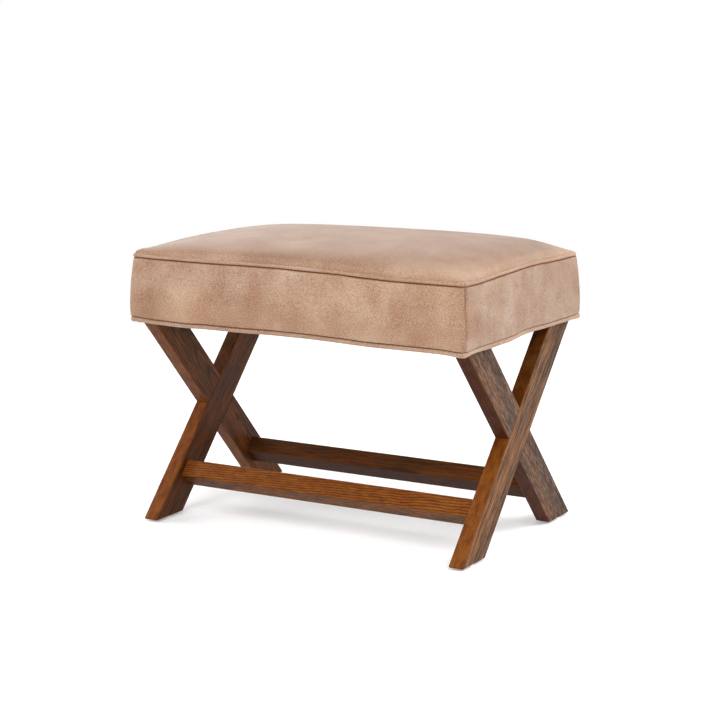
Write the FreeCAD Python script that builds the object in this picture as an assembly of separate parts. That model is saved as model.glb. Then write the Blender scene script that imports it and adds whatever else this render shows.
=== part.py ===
import FreeCAD, Part
import math
import os

os.makedirs("parts", exist_ok=True)

# An upholstered footstool on two crossed-leg frames, in millimetres.
# X runs along the seat, Y from front to back and Z up. The origin is on the
# floor, under the middle of the seat.

# Clearances and fits
soft_clearance = 0.3        # between a soft piece and its neighbour
hole_clearance = 0.1        # round a dowel, screw or nail, on the radius
staple_clearance = 0.1      # round a staple's wire

# Crossed-leg frames
leg_thickness = 24.5
leg_width = 56.0
crossing_height = 167.5     # from the sole of the legs to the middle of the lap
leg_rise = 325.5            # from the sole to the cut top of the legs
leg_top_setback = 9.6       # from the rail's outer face to the leg's outer edge
edge_ease = 2.0             # rounding along the legs and stretchers

# Stretchers between the frames
stretcher_size = 31.0
stretcher_drop = 143.5      # along the leg, from the lap to the stretcher's middle
stretcher_dowel_diameter = 8.0
stretcher_dowel_pitch = 15.0
stretcher_dowel_in_leg = 16.0
stretcher_dowel_in_stretcher = 20.0

# Glides nailed under the feet
glide_diameter = 20.0
glide_height = 3.0
glide_chamfer = 0.8
nail_diameter = 2.5
nail_length = 14.0          # above the sole
nail_head_diameter = 7.0
nail_head_thickness = 1.0
nail_head_recess = 0.5

# Seat, measured over the side panels at the bottom seam
seat_width = 595.0
seat_depth = 404.0
corner_radius = 8.0         # of the welts and the frame, at the seat's outline
boxing_corner_radius = 6.0  # the side panels' corners are sewn sharper than the welts bend
boxing_height = 95.0        # from the bottom seam to the top seam
side_lean_x = 1.8           # how far the end panels lean in by the top seam
side_lean_y = 6.1           # how far the front and back panels lean in
side_bulge = 2.8            # how far each side panel swells
side_bulge_level = 0.42     # where it swells most, as a share of the panel's height
crown_height = 36.8         # the top panel above the top seam
crown_power_x = 3.0         # higher is flatter along the seat
crown_power_y = 3.0         # higher is flatter across the seat
crown_steepness = 0.28      # lower is steeper beside the welt
crown_corner_share = 0.7    # how far the crown's corners round off towards its top
crown_levels = 7

# Cover
cover_thickness = 1.5
top_welt_diameter = 6.5
top_welt_proud = 0.5        # beyond the side panel at the top seam
bottom_welt_diameter = 7.5
welt_drop = 2.3             # the bottom welt below the seat frame's underside
welt_wall = 1.1             # cover wrapped round the piping cord
hem_thickness = 1.0
hem_width = 20.0            # turned in under the rails
wadding_thickness = 6.0
wadding_lift = 6.0          # the wadding's lower edge above the bottom seam

# Seat frame
side_padding = 7.5          # from the side panel's inner face to the rail
rail_thickness = 22.0
rail_height = 45.0
rail_dowel_diameter = 8.0
rail_dowel_in_end_rail = 14.0
rail_dowel_in_long_rail = 22.0
rail_dowel_edge = 12.0      # from the rail's top or bottom edge
block_leg = 48.0            # corner block, along each rail
block_height = 38.0
block_screw_offset = 16.0   # from the inner corner
block_screw_recess = 6.0
block_screw_in_rail = 14.0
block_screw_low = 22.0      # into the long rail, above the rail's underside
block_screw_high = 32.0     # into the end rail, above the leg's dowels
deck_thickness = 9.0
deck_screw_in_rail = 20.0
deck_screw_pitch = 200.0    # along the long rails
deck_screw_end_pitch = 120.0
deck_screw_margin = 10.0    # from the dowels' ends or the legs to a deck screw

# Leg tops into the seat frame
leg_dowel_diameter = 10.0
leg_dowel_in_leg = 18.0
leg_dowel_in_rail = 20.0
leg_fixing_margin = 14.0    # from the leg's inner edge to the first dowel
leg_fixing_pitch = 16.0     # dowel, screw, dowel
leg_screw_diameter = 6.0
leg_screw_in_leg = 36.0
leg_screw_recess = 12.0     # head below the rail's top

# Wood screws
wood_screw_diameter = 4.0
wood_screw_head = 8.0
leg_screw_head = 12.0

# Cloth under the seat
dust_cover_thickness = 0.6
dust_cover_inset = 6.0      # from the rail's outer face
leg_notch_clearance = 1.5
staple_width = 10.0
staple_wire = 0.7
staple_length = 8.0
staple_spacing = 62.0
staple_inset = 12.0         # from the rail's outer face

# Levels
sole_z = glide_height
crossing_z = sole_z + crossing_height
seat_base_z = sole_z + leg_rise
rail_top_z = seat_base_z + rail_height
deck_top_z = rail_top_z + deck_thickness
welt_low_z = seat_base_z - welt_drop
bottom_seam_z = welt_low_z + bottom_welt_diameter + soft_clearance
top_seam_z = bottom_seam_z + boxing_height
hem_low_z = seat_base_z - soft_clearance - hem_thickness
dust_top_z = hem_low_z - soft_clearance
dust_low_z = dust_top_z - dust_cover_thickness

# Plan sizes. An inset is measured inwards from the side panels at the bottom seam.
seat_half_x = seat_width / 2
seat_half_y = seat_depth / 2
rail_inset = cover_thickness + side_padding
hem_inset = rail_inset - soft_clearance - hem_thickness
rail_outer_x = seat_half_x - rail_inset
rail_outer_y = seat_half_y - rail_inset
rail_inner_x = rail_outer_x - rail_thickness
rail_inner_y = rail_outer_y - rail_thickness
leg_outer_x = seat_half_x - hem_inset
leg_inner_x = leg_outer_x - leg_thickness
leg_middle_x = leg_outer_x - leg_thickness / 2
bottom_welt_inset = hem_inset - soft_clearance - bottom_welt_diameter / 2
top_welt_half_x = seat_half_x - side_lean_x + top_welt_proud - top_welt_diameter / 2
top_welt_half_y = seat_half_y - side_lean_y + top_welt_proud - top_welt_diameter / 2
top_welt_radius = corner_radius + top_welt_proud - top_welt_diameter / 2
panel_half_x = top_welt_half_x - top_welt_diameter / 2 - soft_clearance
panel_half_y = top_welt_half_y - top_welt_diameter / 2 - soft_clearance
panel_radius = top_welt_radius - top_welt_diameter / 2 - soft_clearance
wadding_inset = cover_thickness + soft_clearance
foam_inset = wadding_inset + wadding_thickness + soft_clearance

# The legs lean so that their outer edges meet the seat just inside the rails.
lean_run = rail_outer_y - leg_top_setback
lean_rise = seat_base_z - crossing_z
lean_reach = math.hypot(lean_run, lean_rise)
leg_angle = math.atan2(lean_rise, lean_run) + math.asin(leg_width / 2 / lean_reach)
leg_cut_length = leg_width / math.sin(leg_angle)


def vec(x, y, z):
    return FreeCAD.Vector(x, y, z)


UP = vec(0, 0, 1)
DOWN = vec(0, 0, -1)


def save(name, shape):
    shape.exportStep("parts/" + name + ".step")


def save_group(name, solids):
    save(name, Part.makeCompound(solids))


def box(x0, x1, y0, y1, z0, z1):
    low = vec(min(x0, x1), min(y0, y1), min(z0, z1))
    return Part.makeBox(abs(x1 - x0), abs(y1 - y0), abs(z1 - z0), low)


def rod(radius, start, direction, length):
    return Part.makeCylinder(radius, length, start, direction)


def polygon(points):
    return Part.makePolygon(points + [points[0]])


def countersunk_screw(diameter, head_diameter, start, direction, length):
    """A screw whose flat head lies at start and whose shank runs along direction."""
    head_height = (head_diameter - diameter) / 2
    head = Part.makeCone(head_diameter / 2, diameter / 2, head_height, start, direction)
    return head.fuse(rod(diameter / 2, start, direction, length)).removeSplitter()


def screw_hole(diameter, head_diameter, start, direction, length, recess):
    """The hole for that screw, with a round recess above its head."""
    grown = 2 * hole_clearance
    hole = countersunk_screw(diameter + grown, head_diameter + grown, start, direction, length)
    if recess > 0:
        back = vec(-direction.x, -direction.y, -direction.z)
        hole = hole.fuse(rod(head_diameter / 2 + hole_clearance, start, back, recess))
    return hole


def rounded_loop(half_x, half_y, radius, z):
    """A closed rectangle with rounded corners, anticlockwise from above."""
    ax = half_x - radius
    ay = half_y - radius
    slant = radius * math.sqrt(0.5)
    edges = []
    for sx, sy in ((1, -1), (1, 1), (-1, 1), (-1, -1)):
        middle = vec(sx * (ax + slant), sy * (ay + slant), z)
        on_side = vec(sx * half_x, sy * ay, z)
        on_end = vec(sx * ax, sy * half_y, z)
        if sx * sy < 0:
            first, last = on_end, on_side
        else:
            first, last = on_side, on_end
        edges.append((first, middle, last))
    parts = []
    for number, (first, middle, last) in enumerate(edges):
        following = edges[(number + 1) % len(edges)][0]
        parts.append(Part.Arc(first, middle, last).toShape())
        parts.append(Part.makeLine(last, following))
    return Part.Wire(parts)


def rounded_prism(inset, z0, z1):
    """An upright block inside the seat's outline, drawn in by inset all round."""
    radius = max(corner_radius - inset, edge_ease)
    loop = rounded_loop(seat_half_x - inset, seat_half_y - inset, radius, z0)
    return Part.Face(loop).extrude(vec(0, 0, z1 - z0))


# Crossed-leg frames

def leg_point(rises_to_back, along, across):
    """A point in the frame's plane: along the leg from the lap, and across it."""
    way = 1 if rises_to_back else -1
    y = way * (along * math.cos(leg_angle) - across * math.sin(leg_angle))
    z = crossing_z + along * math.sin(leg_angle) + across * math.cos(leg_angle)
    return y, z


def leg_along_at(across, z):
    """How far along the leg a line at this offset meets the level z."""
    return (z - crossing_z - across * math.cos(leg_angle)) / math.sin(leg_angle)


def leg_profile(rises_to_back, x):
    """The leg's outline: two long edges, cut level at the sole and under the seat."""
    half = leg_width / 2
    corners = []
    for across, z in ((-half, sole_z), (-half, seat_base_z), (half, seat_base_z), (half, sole_z)):
        y, level = leg_point(rises_to_back, leg_along_at(across, z), across)
        corners.append(vec(x, y, level))
    return polygon(corners)


def eased_edges(shape, is_eased):
    """Round every straight edge that the test picks."""
    picked = []
    for edge in shape.Edges:
        a = edge.Vertexes[0].Point
        b = edge.Vertexes[-1].Point
        if is_eased(a, b):
            picked.append(edge)
    return shape.makeFillet(edge_ease, picked)


def plain_leg(rises_to_back, outer_x):
    inner_x = outer_x - leg_thickness
    face = Part.Face(leg_profile(rises_to_back, inner_x))
    blank = face.extrude(vec(leg_thickness, 0, 0))
    below_top = seat_base_z - edge_ease

    def shows(a, b):
        return min(a.z, b.z) < below_top

    return eased_edges(blank, shows)


def lap_notch(rises_to_back, x0, x1):
    """The other leg's full width, through half of this leg's thickness."""
    half = leg_width / 2
    reach = leg_width
    corners = []
    for along, across in ((-reach, -half), (reach, -half), (reach, half), (-reach, half)):
        y, z = leg_point(not rises_to_back, along, across)
        corners.append(vec(x0, y, z))
    return Part.Face(polygon(corners)).extrude(vec(x1 - x0, 0, 0))


def stretcher_middle(at_front):
    """The stretcher's centre line, on the middle of the leg with this foot."""
    return leg_point(at_front, -stretcher_drop, 0)


def stretcher_dowel_points(at_front):
    points = []
    for side in (-1, 1):
        along = -stretcher_drop + side * stretcher_dowel_pitch / 2
        points.append(leg_point(at_front, along, 0))
    return points


def stretcher_dowels(at_front, growth):
    """Dowels at both ends of one stretcher, grown to make their holes."""
    dowels = []
    stretcher_end = leg_inner_x
    for side in (-1, 1):
        leg_face = side * stretcher_end
        for y, z in stretcher_dowel_points(at_front):
            start = vec(leg_face - side * (stretcher_dowel_in_stretcher + growth), y, z)
            length = stretcher_dowel_in_stretcher + stretcher_dowel_in_leg + 2 * growth
            dowels.append(rod(stretcher_dowel_diameter / 2 + growth, start, vec(side, 0, 0), length))
    return dowels


def leg_top_edge(rises_to_back):
    """Y of the leg's inner edge at its cut top, and the way out from it."""
    way = 1 if rises_to_back else -1
    return way * (lean_run - leg_cut_length), way


def leg_fixing_y(rises_to_back, place):
    """Y of a fixing: 0 and 2 are dowels, and 1 is the screw between them."""
    inner, way = leg_top_edge(rises_to_back)
    return inner + way * (leg_fixing_margin + place * leg_fixing_pitch)


def leg_top_dowels(side, rises_to_back, growth):
    dowels = []
    for place in (0, 2):
        y = leg_fixing_y(rises_to_back, place)
        start = vec(side * leg_middle_x, y, seat_base_z - leg_dowel_in_leg - growth)
        length = leg_dowel_in_leg + leg_dowel_in_rail + 2 * growth
        dowels.append(rod(leg_dowel_diameter / 2 + growth, start, UP, length))
    return dowels


def leg_screw_start(side, rises_to_back):
    y = leg_fixing_y(rises_to_back, 1)
    return vec(side * leg_middle_x, y, rail_top_z - leg_screw_recess)


def leg_screw_length():
    return rail_height - leg_screw_recess + leg_screw_in_leg


def leg_screw(side, rises_to_back):
    start = leg_screw_start(side, rises_to_back)
    return countersunk_screw(leg_screw_diameter, leg_screw_head, start, DOWN, leg_screw_length())


def leg_screw_hole(side, rises_to_back):
    start = leg_screw_start(side, rises_to_back)
    length = leg_screw_length() + hole_clearance
    return screw_hole(leg_screw_diameter, leg_screw_head, start, DOWN, length, leg_screw_recess)


def foot_middle_y(rises_to_back):
    """Y of the middle of the sole."""
    y, level = leg_point(rises_to_back, leg_along_at(0, sole_z), 0)
    return y


def nail_hole(side, rises_to_back):
    start = vec(side * leg_middle_x, foot_middle_y(rises_to_back), sole_z)
    return rod(nail_diameter / 2 + hole_clearance, start, UP, nail_length + hole_clearance)


def make_leg(side, rises_to_back):
    """A leg named by its foot: the one that rises to the back has its foot in front."""
    outer_x = leg_outer_x if side > 0 else -leg_inner_x
    middle_x = outer_x - leg_thickness / 2
    leg = plain_leg(rises_to_back, outer_x)
    if rises_to_back:
        leg = leg.cut(lap_notch(rises_to_back, outer_x - leg_thickness, middle_x))
    else:
        leg = leg.cut(lap_notch(rises_to_back, middle_x, outer_x))
    holes = stretcher_dowels(rises_to_back, hole_clearance)
    holes += leg_top_dowels(side, rises_to_back, hole_clearance)
    holes.append(leg_screw_hole(side, rises_to_back))
    holes.append(nail_hole(side, rises_to_back))
    return leg.cut(Part.makeCompound(holes))


def make_stretcher(at_front):
    """A square bar turned with the legs that it joins."""
    half = stretcher_size / 2
    corners = []
    for along, across in ((-half, -half), (half, -half), (half, half), (-half, half)):
        y, z = leg_point(at_front, -stretcher_drop + along, across)
        corners.append(vec(-leg_inner_x, y, z))
    bar = Part.Face(polygon(corners)).extrude(vec(2 * leg_inner_x, 0, 0))

    def runs_along(a, b):
        return abs(a.x - b.x) > leg_inner_x

    bar = eased_edges(bar, runs_along)
    return bar.cut(Part.makeCompound(stretcher_dowels(at_front, hole_clearance)))


# Glides

def make_glide(side, rises_to_back):
    """A round glide with a stepped hole for its nail."""
    foot = vec(side * leg_middle_x, foot_middle_y(rises_to_back), 0)
    radius = glide_diameter / 2
    rim = Part.makeCone(radius - glide_chamfer, radius, glide_chamfer, foot, UP)
    above = vec(foot.x, foot.y, glide_chamfer)
    glide = rim.fuse(rod(radius, above, UP, glide_height - glide_chamfer)).removeSplitter()
    recess = nail_head_recess + nail_head_thickness + hole_clearance
    glide = glide.cut(rod(nail_head_diameter / 2 + hole_clearance, foot, UP, recess))
    return glide.cut(rod(nail_diameter / 2 + hole_clearance, foot, UP, glide_height))


def make_nail(side, rises_to_back):
    start = vec(side * leg_middle_x, foot_middle_y(rises_to_back), nail_head_recess)
    head = rod(nail_head_diameter / 2, start, UP, nail_head_thickness)
    shank = rod(nail_diameter / 2, start, UP, sole_z + nail_length - nail_head_recess)
    return head.fuse(shank).removeSplitter()


# Seat frame

def rail_dowels(growth):
    """Dowels from each end rail into the ends of the front and back rails."""
    dowels = []
    y = rail_outer_y - rail_thickness / 2
    levels = (seat_base_z + rail_dowel_edge, rail_top_z - rail_dowel_edge)
    length = rail_dowel_in_end_rail + rail_dowel_in_long_rail + 2 * growth
    for side in (-1, 1):
        for way in (-1, 1):
            for z in levels:
                start_x = side * (rail_inner_x - rail_dowel_in_long_rail - growth)
                start = vec(start_x, way * y, z)
                dowels.append(rod(rail_dowel_diameter / 2 + growth, start, vec(side, 0, 0), length))
    return dowels


def block_screw_places():
    """Head, direction and recess of every corner block screw."""
    places = []
    head_reach = block_leg - block_screw_offset - block_screw_recess
    for side in (-1, 1):
        for way in (-1, 1):
            into_end = vec(side * (rail_inner_x - head_reach), way * (rail_inner_y - block_screw_offset),
                           seat_base_z + block_screw_high)
            into_long = vec(side * (rail_inner_x - block_screw_offset), way * (rail_inner_y - head_reach),
                            seat_base_z + block_screw_low)
            places.append((into_end, vec(side, 0, 0)))
            places.append((into_long, vec(0, way, 0)))
    return places


def block_screws():
    length = block_leg - block_screw_offset - block_screw_recess + block_screw_in_rail
    screws = []
    for start, direction in block_screw_places():
        screws.append(countersunk_screw(wood_screw_diameter, wood_screw_head, start, direction, length))
    return screws


def block_screw_holes():
    length = block_leg - block_screw_offset - block_screw_recess + block_screw_in_rail
    holes = []
    for start, direction in block_screw_places():
        holes.append(screw_hole(wood_screw_diameter, wood_screw_head, start, direction,
                                length + hole_clearance, block_leg))
    return holes


def centred_row(reach, pitch):
    """As many places at this pitch as fit within reach of the middle, both ways."""
    count = 1 + math.floor(2 * reach / pitch)
    return [(number - (count - 1) / 2) * pitch for number in range(count)]


def deck_screw_starts():
    """A row of screws along each rail, clear of the rails' dowels and of the legs' fixings."""
    starts = []
    long_y = rail_outer_y - rail_thickness / 2
    end_x = rail_outer_x - rail_thickness / 2
    long_reach = rail_inner_x - rail_dowel_in_long_rail - deck_screw_margin
    end_reach = lean_run - leg_cut_length - deck_screw_margin
    for way in (-1, 1):
        for x in centred_row(long_reach, deck_screw_pitch):
            starts.append(vec(x, way * long_y, deck_top_z))
    for side in (-1, 1):
        for y in centred_row(end_reach, deck_screw_end_pitch):
            starts.append(vec(side * end_x, y, deck_top_z))
    return starts


def deck_screws():
    length = deck_thickness + deck_screw_in_rail
    screws = []
    for start in deck_screw_starts():
        screws.append(countersunk_screw(wood_screw_diameter, wood_screw_head, start, DOWN, length))
    return screws


def deck_screw_holes():
    length = deck_thickness + deck_screw_in_rail + hole_clearance
    holes = []
    for start in deck_screw_starts():
        holes.append(screw_hole(wood_screw_diameter, wood_screw_head, start, DOWN, length, 0))
    return holes


def leg_fixing_holes():
    """Every dowel and screw hole between the leg tops and the end rails."""
    holes = []
    for side in (-1, 1):
        for rises_to_back in (True, False):
            holes += leg_top_dowels(side, rises_to_back, hole_clearance)
            holes.append(leg_screw_hole(side, rises_to_back))
    return holes


def rail_holes():
    holes = rail_dowels(hole_clearance) + block_screw_holes() + deck_screw_holes()
    holes += leg_fixing_holes() + staple_holes()
    return Part.makeCompound(holes)


def make_long_rail(way):
    """The front or back rail, fitted between the end rails."""
    rail = box(-rail_inner_x, rail_inner_x, way * rail_inner_y, way * rail_outer_y, seat_base_z, rail_top_z)
    return rail.cut(rail_holes())


def make_end_rail(side):
    """An end rail of the full depth, with its outer corners rounded."""
    outline = rounded_prism(rail_inset, seat_base_z, rail_top_z)
    band = box(side * rail_inner_x, side * seat_half_x, -seat_half_y, seat_half_y, seat_base_z, rail_top_z)
    return outline.common(band).cut(rail_holes())


def make_corner_block(side, way):
    """A three-cornered block glued and screwed into a corner of the frame."""
    corner_x = side * rail_inner_x
    corner_y = way * rail_inner_y
    loop = polygon([vec(corner_x, corner_y, seat_base_z),
                    vec(corner_x - side * block_leg, corner_y, seat_base_z),
                    vec(corner_x, corner_y - way * block_leg, seat_base_z)])
    block = Part.Face(loop).extrude(vec(0, 0, block_height))
    return block.cut(Part.makeCompound(block_screw_holes()))


def make_deck():
    deck = rounded_prism(rail_inset, rail_top_z, deck_top_z)
    return deck.cut(Part.makeCompound(deck_screw_holes()))


# Cushion

def body_loop(inset, height_share, swell, z):
    """The side panels' outline at a share of their height, drawn in by inset."""
    half_x = seat_half_x - side_lean_x * height_share + swell - inset
    half_y = seat_half_y - side_lean_y * height_share + swell - inset
    return rounded_loop(half_x, half_y, max(boxing_corner_radius - inset, edge_ease), z)


def body_form(inset, z_top):
    """The boxed body from the bottom seam to z_top, swelling a little below half height."""
    loops = []
    for share, swell in ((0, 0), (side_bulge_level, side_bulge), (1, 0)):
        loops.append(body_loop(inset, share, swell, bottom_seam_z + share * (z_top - bottom_seam_z)))
    return Part.makeLoft(loops, True, False)


def crown_form(inset):
    """The crown: rounded rectangles that draw in as they rise, flat at the very top."""
    base_x = panel_half_x - inset
    base_y = panel_half_y - inset
    highest = math.sin(math.pi / 2 * (crown_levels - 1) / crown_levels)
    loops = []
    for level in range(crown_levels):
        rise = math.sin(math.pi / 2 * level / crown_levels)
        fall = 1 - rise ** (1 / crown_steepness)
        half_x = base_x * fall ** (1 / crown_power_x)
        half_y = base_y * fall ** (1 / crown_power_y)
        radius = half_y * (max(panel_radius, edge_ease) / panel_half_y + crown_corner_share * rise)
        loops.append(rounded_loop(half_x, half_y, radius, top_seam_z - inset + crown_height * rise / highest))
    return Part.makeLoft(loops, True, False)


def cushion_form(inset):
    """The padded body and crown together, drawn in by inset all over."""
    return body_form(inset, top_seam_z - inset).fuse(crown_form(inset))


def below(z):
    margin = seat_width
    return box(-margin, margin, -margin, margin, 0, z)


def make_foam_core():
    return cushion_form(foam_inset).cut(below(deck_top_z + soft_clearance))


def make_wadding():
    """A soft layer over the foam and down the sides of the frame."""
    outer = cushion_form(wadding_inset)
    inner = cushion_form(wadding_inset + wadding_thickness)
    return outer.cut(inner).cut(below(bottom_seam_z + wadding_lift))


def make_top_panel():
    """The cover's crowned top, open below and one layer thick."""
    hollow = crown_form(cover_thickness)
    return crown_form(0).cut(hollow).cut(below(top_seam_z))


def boxing_shell():
    """All four side panels as one band, just clear of the top welt."""
    z_top = top_seam_z - soft_clearance
    return body_form(0, z_top).cut(body_form(cover_thickness, z_top))


def corner_wedge(toward_y, way, height_share, z):
    """The plan of one side panel, ending on the diagonals of the corners."""
    half_x = seat_half_x - side_lean_x * height_share
    half_y = seat_half_y - side_lean_y * height_share
    out = corner_radius + side_bulge
    back = 2 * corner_radius
    gap = soft_clearance * math.sqrt(0.5)
    points = []
    for turn, step in ((-1, out), (1, out), (1, -back), (-1, -back)):
        if toward_y:
            points.append(vec(turn * (half_x + step - gap), way * (half_y + step), z))
        else:
            points.append(vec(way * (half_x + step), turn * (half_y + step - gap), z))
    return polygon(points)


def make_boxing(toward_y, way):
    low = corner_wedge(toward_y, way, 0, bottom_seam_z)
    high = corner_wedge(toward_y, way, 1, top_seam_z)
    return boxing_shell().common(Part.makeLoft([low, high], True, True))


def welt_ring(half_x, half_y, bend_radius, z, wire_radius):
    """A round cord bent round the seat."""
    path = rounded_loop(half_x, half_y, bend_radius, z)
    start = path.Edges[1].Vertexes[0].Point
    along = path.Edges[1].tangentAt(path.Edges[1].FirstParameter)
    section = Part.Wire(Part.makeCircle(wire_radius, start, along))
    ordered = Part.Wire(path.Edges[1:] + path.Edges[:1])
    return ordered.makePipeShell([section], True, False)


def make_welt(half_x, half_y, bend_radius, z, diameter):
    outer = welt_ring(half_x, half_y, bend_radius, z, diameter / 2)
    return outer.cut(welt_ring(half_x, half_y, bend_radius, z, diameter / 2 - welt_wall))


def make_piping(half_x, half_y, bend_radius, z, diameter):
    return welt_ring(half_x, half_y, bend_radius, z, diameter / 2 - welt_wall - hole_clearance)


def top_welt_place():
    z = top_seam_z + top_welt_diameter / 2
    return top_welt_half_x, top_welt_half_y, top_welt_radius, z, top_welt_diameter


def bottom_welt_place():
    half_x = seat_half_x - bottom_welt_inset
    half_y = seat_half_y - bottom_welt_inset
    z = welt_low_z + bottom_welt_diameter / 2
    return half_x, half_y, corner_radius - bottom_welt_inset, z, bottom_welt_diameter


# Cloth under the seat

def leg_notches(z0, z1, outer):
    """Room round the leg tops in the cloth under the seat, from each leg's inner edge out."""
    notches = []
    lean_below = (seat_base_z - z0) / math.tan(leg_angle)
    inner = lean_run - leg_cut_length - lean_below - leg_notch_clearance
    for side in (-1, 1):
        for way in (-1, 1):
            notches.append(box(side * (leg_inner_x - leg_notch_clearance), side * seat_half_x,
                               way * inner, way * outer, z0, z1))
    return Part.makeCompound(notches)


def make_hem():
    """The strip sewn to the bottom welt, turned in under the rails."""
    upright = rounded_prism(hem_inset, hem_low_z, bottom_seam_z - soft_clearance)
    upright = upright.cut(rounded_prism(rail_inset - soft_clearance, hem_low_z, bottom_seam_z))
    turned_z = hem_low_z + hem_thickness
    turned = rounded_prism(hem_inset, hem_low_z, turned_z)
    opening = box(-rail_outer_x + hem_width, rail_outer_x - hem_width,
                  -rail_outer_y + hem_width, rail_outer_y - hem_width, hem_low_z, turned_z)
    hem = upright.fuse(turned.cut(opening)).removeSplitter()
    notch_top = seat_base_z + soft_clearance
    notches = leg_notches(hem_low_z, notch_top, lean_run + leg_notch_clearance)
    return hem.cut(notches).cut(Part.makeCompound(staple_holes()))


def make_dust_cover():
    sheet = rounded_prism(rail_inset + dust_cover_inset, dust_low_z, dust_top_z)
    sheet = sheet.cut(leg_notches(dust_low_z, dust_top_z, seat_half_y))
    return sheet.cut(Part.makeCompound(staple_holes()))


def evenly(half_length):
    """Places along a side, spaced evenly and clear of its ends."""
    count = max(2, round(2 * half_length / staple_spacing))
    return [half_length * (2 * (number + 0.5) / count - 1) for number in range(count)]


def staple_places():
    """Middle of each staple and whether its crown runs along X."""
    places = []
    long_y = rail_outer_y - staple_inset
    end_x = rail_outer_x - staple_inset
    leg_reach = lean_run - leg_cut_length - 2 * leg_notch_clearance - staple_width / 2
    for way in (-1, 1):
        for x in evenly(leg_inner_x - 2 * leg_notch_clearance - staple_width / 2):
            places.append((x, way * long_y, True))
    for side in (-1, 1):
        for y in evenly(leg_reach):
            places.append((side * end_x, y, False))
    return places


def staple_bars(growth):
    """The two prongs of every staple, and the crown that joins them, as boxes."""
    staples = []
    half = staple_width / 2
    wire = staple_wire / 2 + growth
    crown_z = dust_low_z - staple_wire
    top_z = crown_z + staple_length + growth
    for x, y, along_x in staple_places():
        ux = 1 if along_x else 0
        uy = 1 - ux
        bars = [box(x - ux * half - wire, x + ux * half + wire, y - uy * half - wire, y + uy * half + wire,
                    crown_z - growth, dust_low_z)]
        for end in (-1, 1):
            px = x + end * ux * half
            py = y + end * uy * half
            bars.append(box(px - wire, px + wire, py - wire, py + wire, crown_z, top_z))
        staples.append(bars)
    return staples


def staple_holes():
    """Room for every prong in the cloth, the hem and the rails."""
    holes = []
    for crown, first, second in staple_bars(staple_clearance):
        holes += [first, second]
    return holes


def make_staples():
    staples = []
    for crown, first, second in staple_bars(0):
        staples.append(crown.fuse([first, second]).removeSplitter())
    return staples


# Write every piece
FEET = [(side, rises_to_back) for side in (-1, 1) for rises_to_back in (True, False)]
CORNERS = [(side, way) for side in (-1, 1) for way in (-1, 1)]

for side, side_name in ((-1, "left"), (1, "right")):
    save(side_name + "_leg_front_foot", make_leg(side, True))
    save(side_name + "_leg_back_foot", make_leg(side, False))
    save(side_name + "_rail", make_end_rail(side))
    save(side_name + "_boxing", make_boxing(False, side))

for way, way_name in ((-1, "front"), (1, "back")):
    save(way_name + "_stretcher", make_stretcher(way < 0))
    save(way_name + "_rail", make_long_rail(way))
    save(way_name + "_boxing", make_boxing(True, way))

save_group("stretcher_dowels", stretcher_dowels(True, 0) + stretcher_dowels(False, 0))
save_group("foot_glides", [make_glide(*foot) for foot in FEET])
save_group("glide_nails", [make_nail(*foot) for foot in FEET])
save_group("leg_top_dowels", [dowel for foot in FEET for dowel in leg_top_dowels(*foot, 0)])
save_group("leg_top_screws", [leg_screw(*foot) for foot in FEET])
save_group("rail_dowels", rail_dowels(0))
save_group("corner_blocks", [make_corner_block(*corner) for corner in CORNERS])
save_group("corner_block_screws", block_screws())
save("seat_deck", make_deck())
save_group("deck_screws", deck_screws())
save("foam_core", make_foam_core())
save("wadding", make_wadding())
save("top_panel", make_top_panel())
save("top_welt", make_welt(*top_welt_place()))
save("top_piping_cord", make_piping(*top_welt_place()))
save("bottom_welt", make_welt(*bottom_welt_place()))
save("bottom_piping_cord", make_piping(*bottom_welt_place()))
save("cover_hem", make_hem())
save("dust_cover", make_dust_cover())
save_group("staples", make_staples())
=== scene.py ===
import math

import bmesh
import bpy
from mathutils import Euler, Matrix, Vector, noise


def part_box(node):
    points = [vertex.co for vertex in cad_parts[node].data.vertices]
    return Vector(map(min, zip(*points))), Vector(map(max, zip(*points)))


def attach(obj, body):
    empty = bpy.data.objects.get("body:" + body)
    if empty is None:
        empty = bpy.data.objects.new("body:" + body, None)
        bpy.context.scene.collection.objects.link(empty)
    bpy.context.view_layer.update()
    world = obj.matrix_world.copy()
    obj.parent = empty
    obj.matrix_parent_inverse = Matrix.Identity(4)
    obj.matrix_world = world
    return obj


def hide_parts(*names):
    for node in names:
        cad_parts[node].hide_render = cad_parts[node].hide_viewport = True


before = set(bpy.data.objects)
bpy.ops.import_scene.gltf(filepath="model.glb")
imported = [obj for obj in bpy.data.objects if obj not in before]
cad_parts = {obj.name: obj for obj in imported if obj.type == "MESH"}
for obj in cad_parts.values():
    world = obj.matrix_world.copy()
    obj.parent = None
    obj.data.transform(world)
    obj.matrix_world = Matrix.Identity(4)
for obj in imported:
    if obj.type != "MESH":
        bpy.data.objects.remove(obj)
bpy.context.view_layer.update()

# An upholstered footstool on two crossed-leg frames, in metres.
# X runs along the seat, Y from front to back and Z up.


# Camera
CAMERA_PLACE = Vector((1.5285, -2.6174, 0.8237))
CAMERA_YAW = math.radians(30.20)
CAMERA_PITCH = math.radians(-10.52)
CAMERA_ROLL = math.radians(-0.16)
LENS = 95.97
SENSOR = 36.0

# Studio: softboxes by azimuth, height in degrees and watts, over a glowing white floor
LIT_PLACE = Vector((0, 0, 0.25))
SOFTBOX_SIZE = 1.8
SOFTBOX_REACH = 3.2
FLOOR_GLOW = 0.25
FLOOR_WHITE = (0.82, 0.82, 0.82)
FLOOR_RADIUS = 1.9
ROOM_GLOW = 0.02
ROOM_WHITE = (0.95, 0.97, 1.0)
SOFTBOXES = ((-5, 20, 35), (-5, 50, 48), (-75, 20, 56), (-75, 50, 5), (65, 50, 17), (100, 20, 29),
             (100, 50, 60), (140, 20, 35), (180, 50, 23), (-130, 20, 30))

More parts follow.
